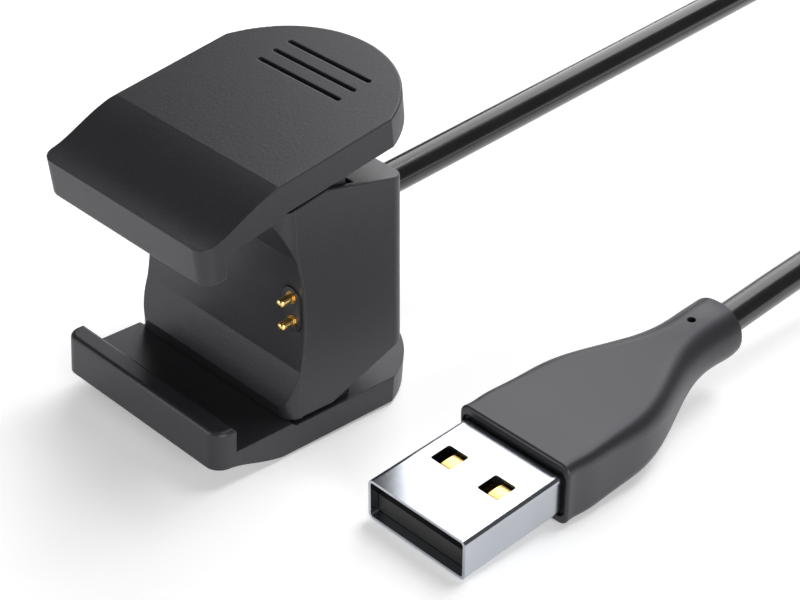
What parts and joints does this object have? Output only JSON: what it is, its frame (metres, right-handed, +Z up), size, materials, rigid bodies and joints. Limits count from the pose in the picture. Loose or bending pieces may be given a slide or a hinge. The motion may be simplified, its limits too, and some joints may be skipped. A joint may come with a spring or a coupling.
{
  "type": "clip-on tracker charging lead",
  "caption": "Spring-loaded clip that grips a small wrist-worn tracker and charges it through sprung pins, with a round lead and a USB-A plug.",
  "frame": {"origin": "bottom centre of the clip (both jaws, block and strain relief), on the surface its lower jaw lies on", "axes": "+Z up from the surface, +Y from the lips to the strain relief and the lead, +X across the jaws towards the side the contacts are on"},
  "size_m": [0.0498, 0.187, 0.0332],
  "materials": {
    "shell_plastic": "fine matte",
    "contact_plastic": "satin",
    "gold": "gold plated",
    "spring_steel": "drawn wire",
    "steel": "ground",
    "crimp_metal": "tinned",
    "board": "solder mask",
    "chip": "matte",
    "red_core": "smooth",
    "black_core": "smooth",
    "relief_rubber": "satin",
    "jacket": "glossy",
    "tie": "matte",
    "plug_metal": "bright nickel",
    "tongue_plastic": "matte",
    "core_plastic": "matte",
    "grip": "satin"
  },
  "bodies": {
    "block": {"body_shell": "shell_plastic", "cradle_face": "shell_plastic", "contact_block": "contact_plastic", "pogo_barrel_upper": "gold", "pogo_barrel_lower": "gold", "pogo_spring_upper": "spring_steel", "pogo_spring_lower": "spring_steel", "circuit_board": "board", "fuse_chip": "chip", "supply_wire": "red_core", "return_wire": "black_core", "cable_anchor": "crimp_metal", "strain_relief": "relief_rubber", "upper_hinge_pin": "steel", "lower_hinge_pin": "steel", "upper_torsion_spring": "spring_steel", "lower_torsion_spring": "spring_steel", "plug_shell": "plug_metal", "plug_tongue": "tongue_plastic", "plug_contacts": "gold", "plug_core": "core_plastic", "plug_ferrule": "crimp_metal", "plug_overmould": "grip", "lead_from_clip": "jacket", "lead_coil": "jacket", "lead_to_plug": "jacket", "coil_tie": "tie"},
    "upper_jaw": {"upper_jaw": "shell_plastic"},
    "lower_jaw": {"lower_jaw": "shell_plastic"},
    "upper_pin": {"pogo_plunger_upper": "gold"},
    "lower_pin": {"pogo_plunger_lower": "gold"}
  },
  "joints": [
    {"name": "upper_jaw_hinge", "type": "hinge", "parent": "block", "child": "upper_jaw", "pos_m": [0, 0.00018, 0.0251], "axis": [-1, 0, 0], "range_deg": [0, 20], "stiffness_Nm_per_rad": 0.057, "springref_deg": -12.03, "deforming": ["upper_torsion_spring"]},
    {"name": "lower_jaw_hinge", "type": "hinge", "parent": "block", "child": "lower_jaw", "pos_m": [0, 0.00195, 0.00568], "axis": [1, 0, 0], "range_deg": [0, 20], "stiffness_Nm_per_rad": 0.057, "springref_deg": -12.03, "deforming": ["lower_torsion_spring"]},
    {"name": "upper_pin_slide", "type": "slide", "parent": "block", "child": "upper_pin", "axis": [0, 0.9959, 0.0906], "range_m": [0, 0.0009], "stiffness_N_per_m": 500, "springref_m": -0.0005, "deforming": ["pogo_spring_upper"]},
    {"name": "lower_pin_slide", "type": "slide", "parent": "block", "child": "lower_pin", "axis": [0, 0.9959, 0.0906], "range_m": [0, 0.0009], "stiffness_N_per_m": 500, "springref_m": -0.0005, "deforming": ["pogo_spring_lower"]}
  ]
}
